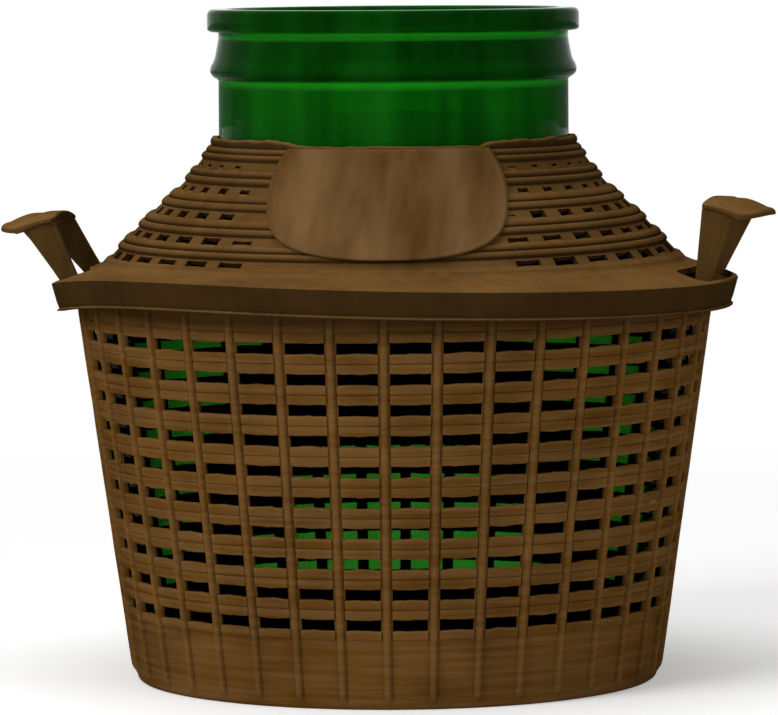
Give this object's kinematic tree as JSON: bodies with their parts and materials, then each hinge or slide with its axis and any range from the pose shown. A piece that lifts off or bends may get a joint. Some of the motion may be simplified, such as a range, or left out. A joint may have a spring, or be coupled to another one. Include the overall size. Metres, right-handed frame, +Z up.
{
  "type": "plastic-covered demijohn",
  "caption": "Wide-mouthed green glass demijohn in a brown moulded plastic lattice basket, with a ringed shoulder cover, a bare shield plate and strap handles.",
  "frame": {"origin": "on the table, at the middle of the basket's base, below the vessel's axis", "axes": "+Z up the vessel's axis, +X towards the right handle, -Y roughly towards the plate"},
  "size_m": [0.2753, 0.2435, 0.238],
  "materials": {
    "green_glass": "polished, moulded bottle glass",
    "casing_plastic": "satin moulded polyethylene",
    "handle_plastic": "satin moulded polyethylene, rubbed on the grips"
  },
  "bodies": {
    "demijohn": {"basket": "casing_plastic", "cover": "casing_plastic", "glass_vessel": "green_glass"},
    "right_handle": {"handle_right": "handle_plastic"},
    "left_handle": {"handle_left": "handle_plastic"}
  },
  "joints": [
    {"name": "right_handle_tilt", "type": "hinge", "parent": "demijohn", "child": "right_handle", "pos_m": [0.11141, 0, 0.14055], "axis": [0, 1, 0], "range_deg": [-14, 15]},
    {"name": "left_handle_tilt", "type": "hinge", "parent": "demijohn", "child": "left_handle", "pos_m": [-0.11141, 0, 0.14055], "axis": [0, -1, 0], "range_deg": [-28, 2]}
  ]
}
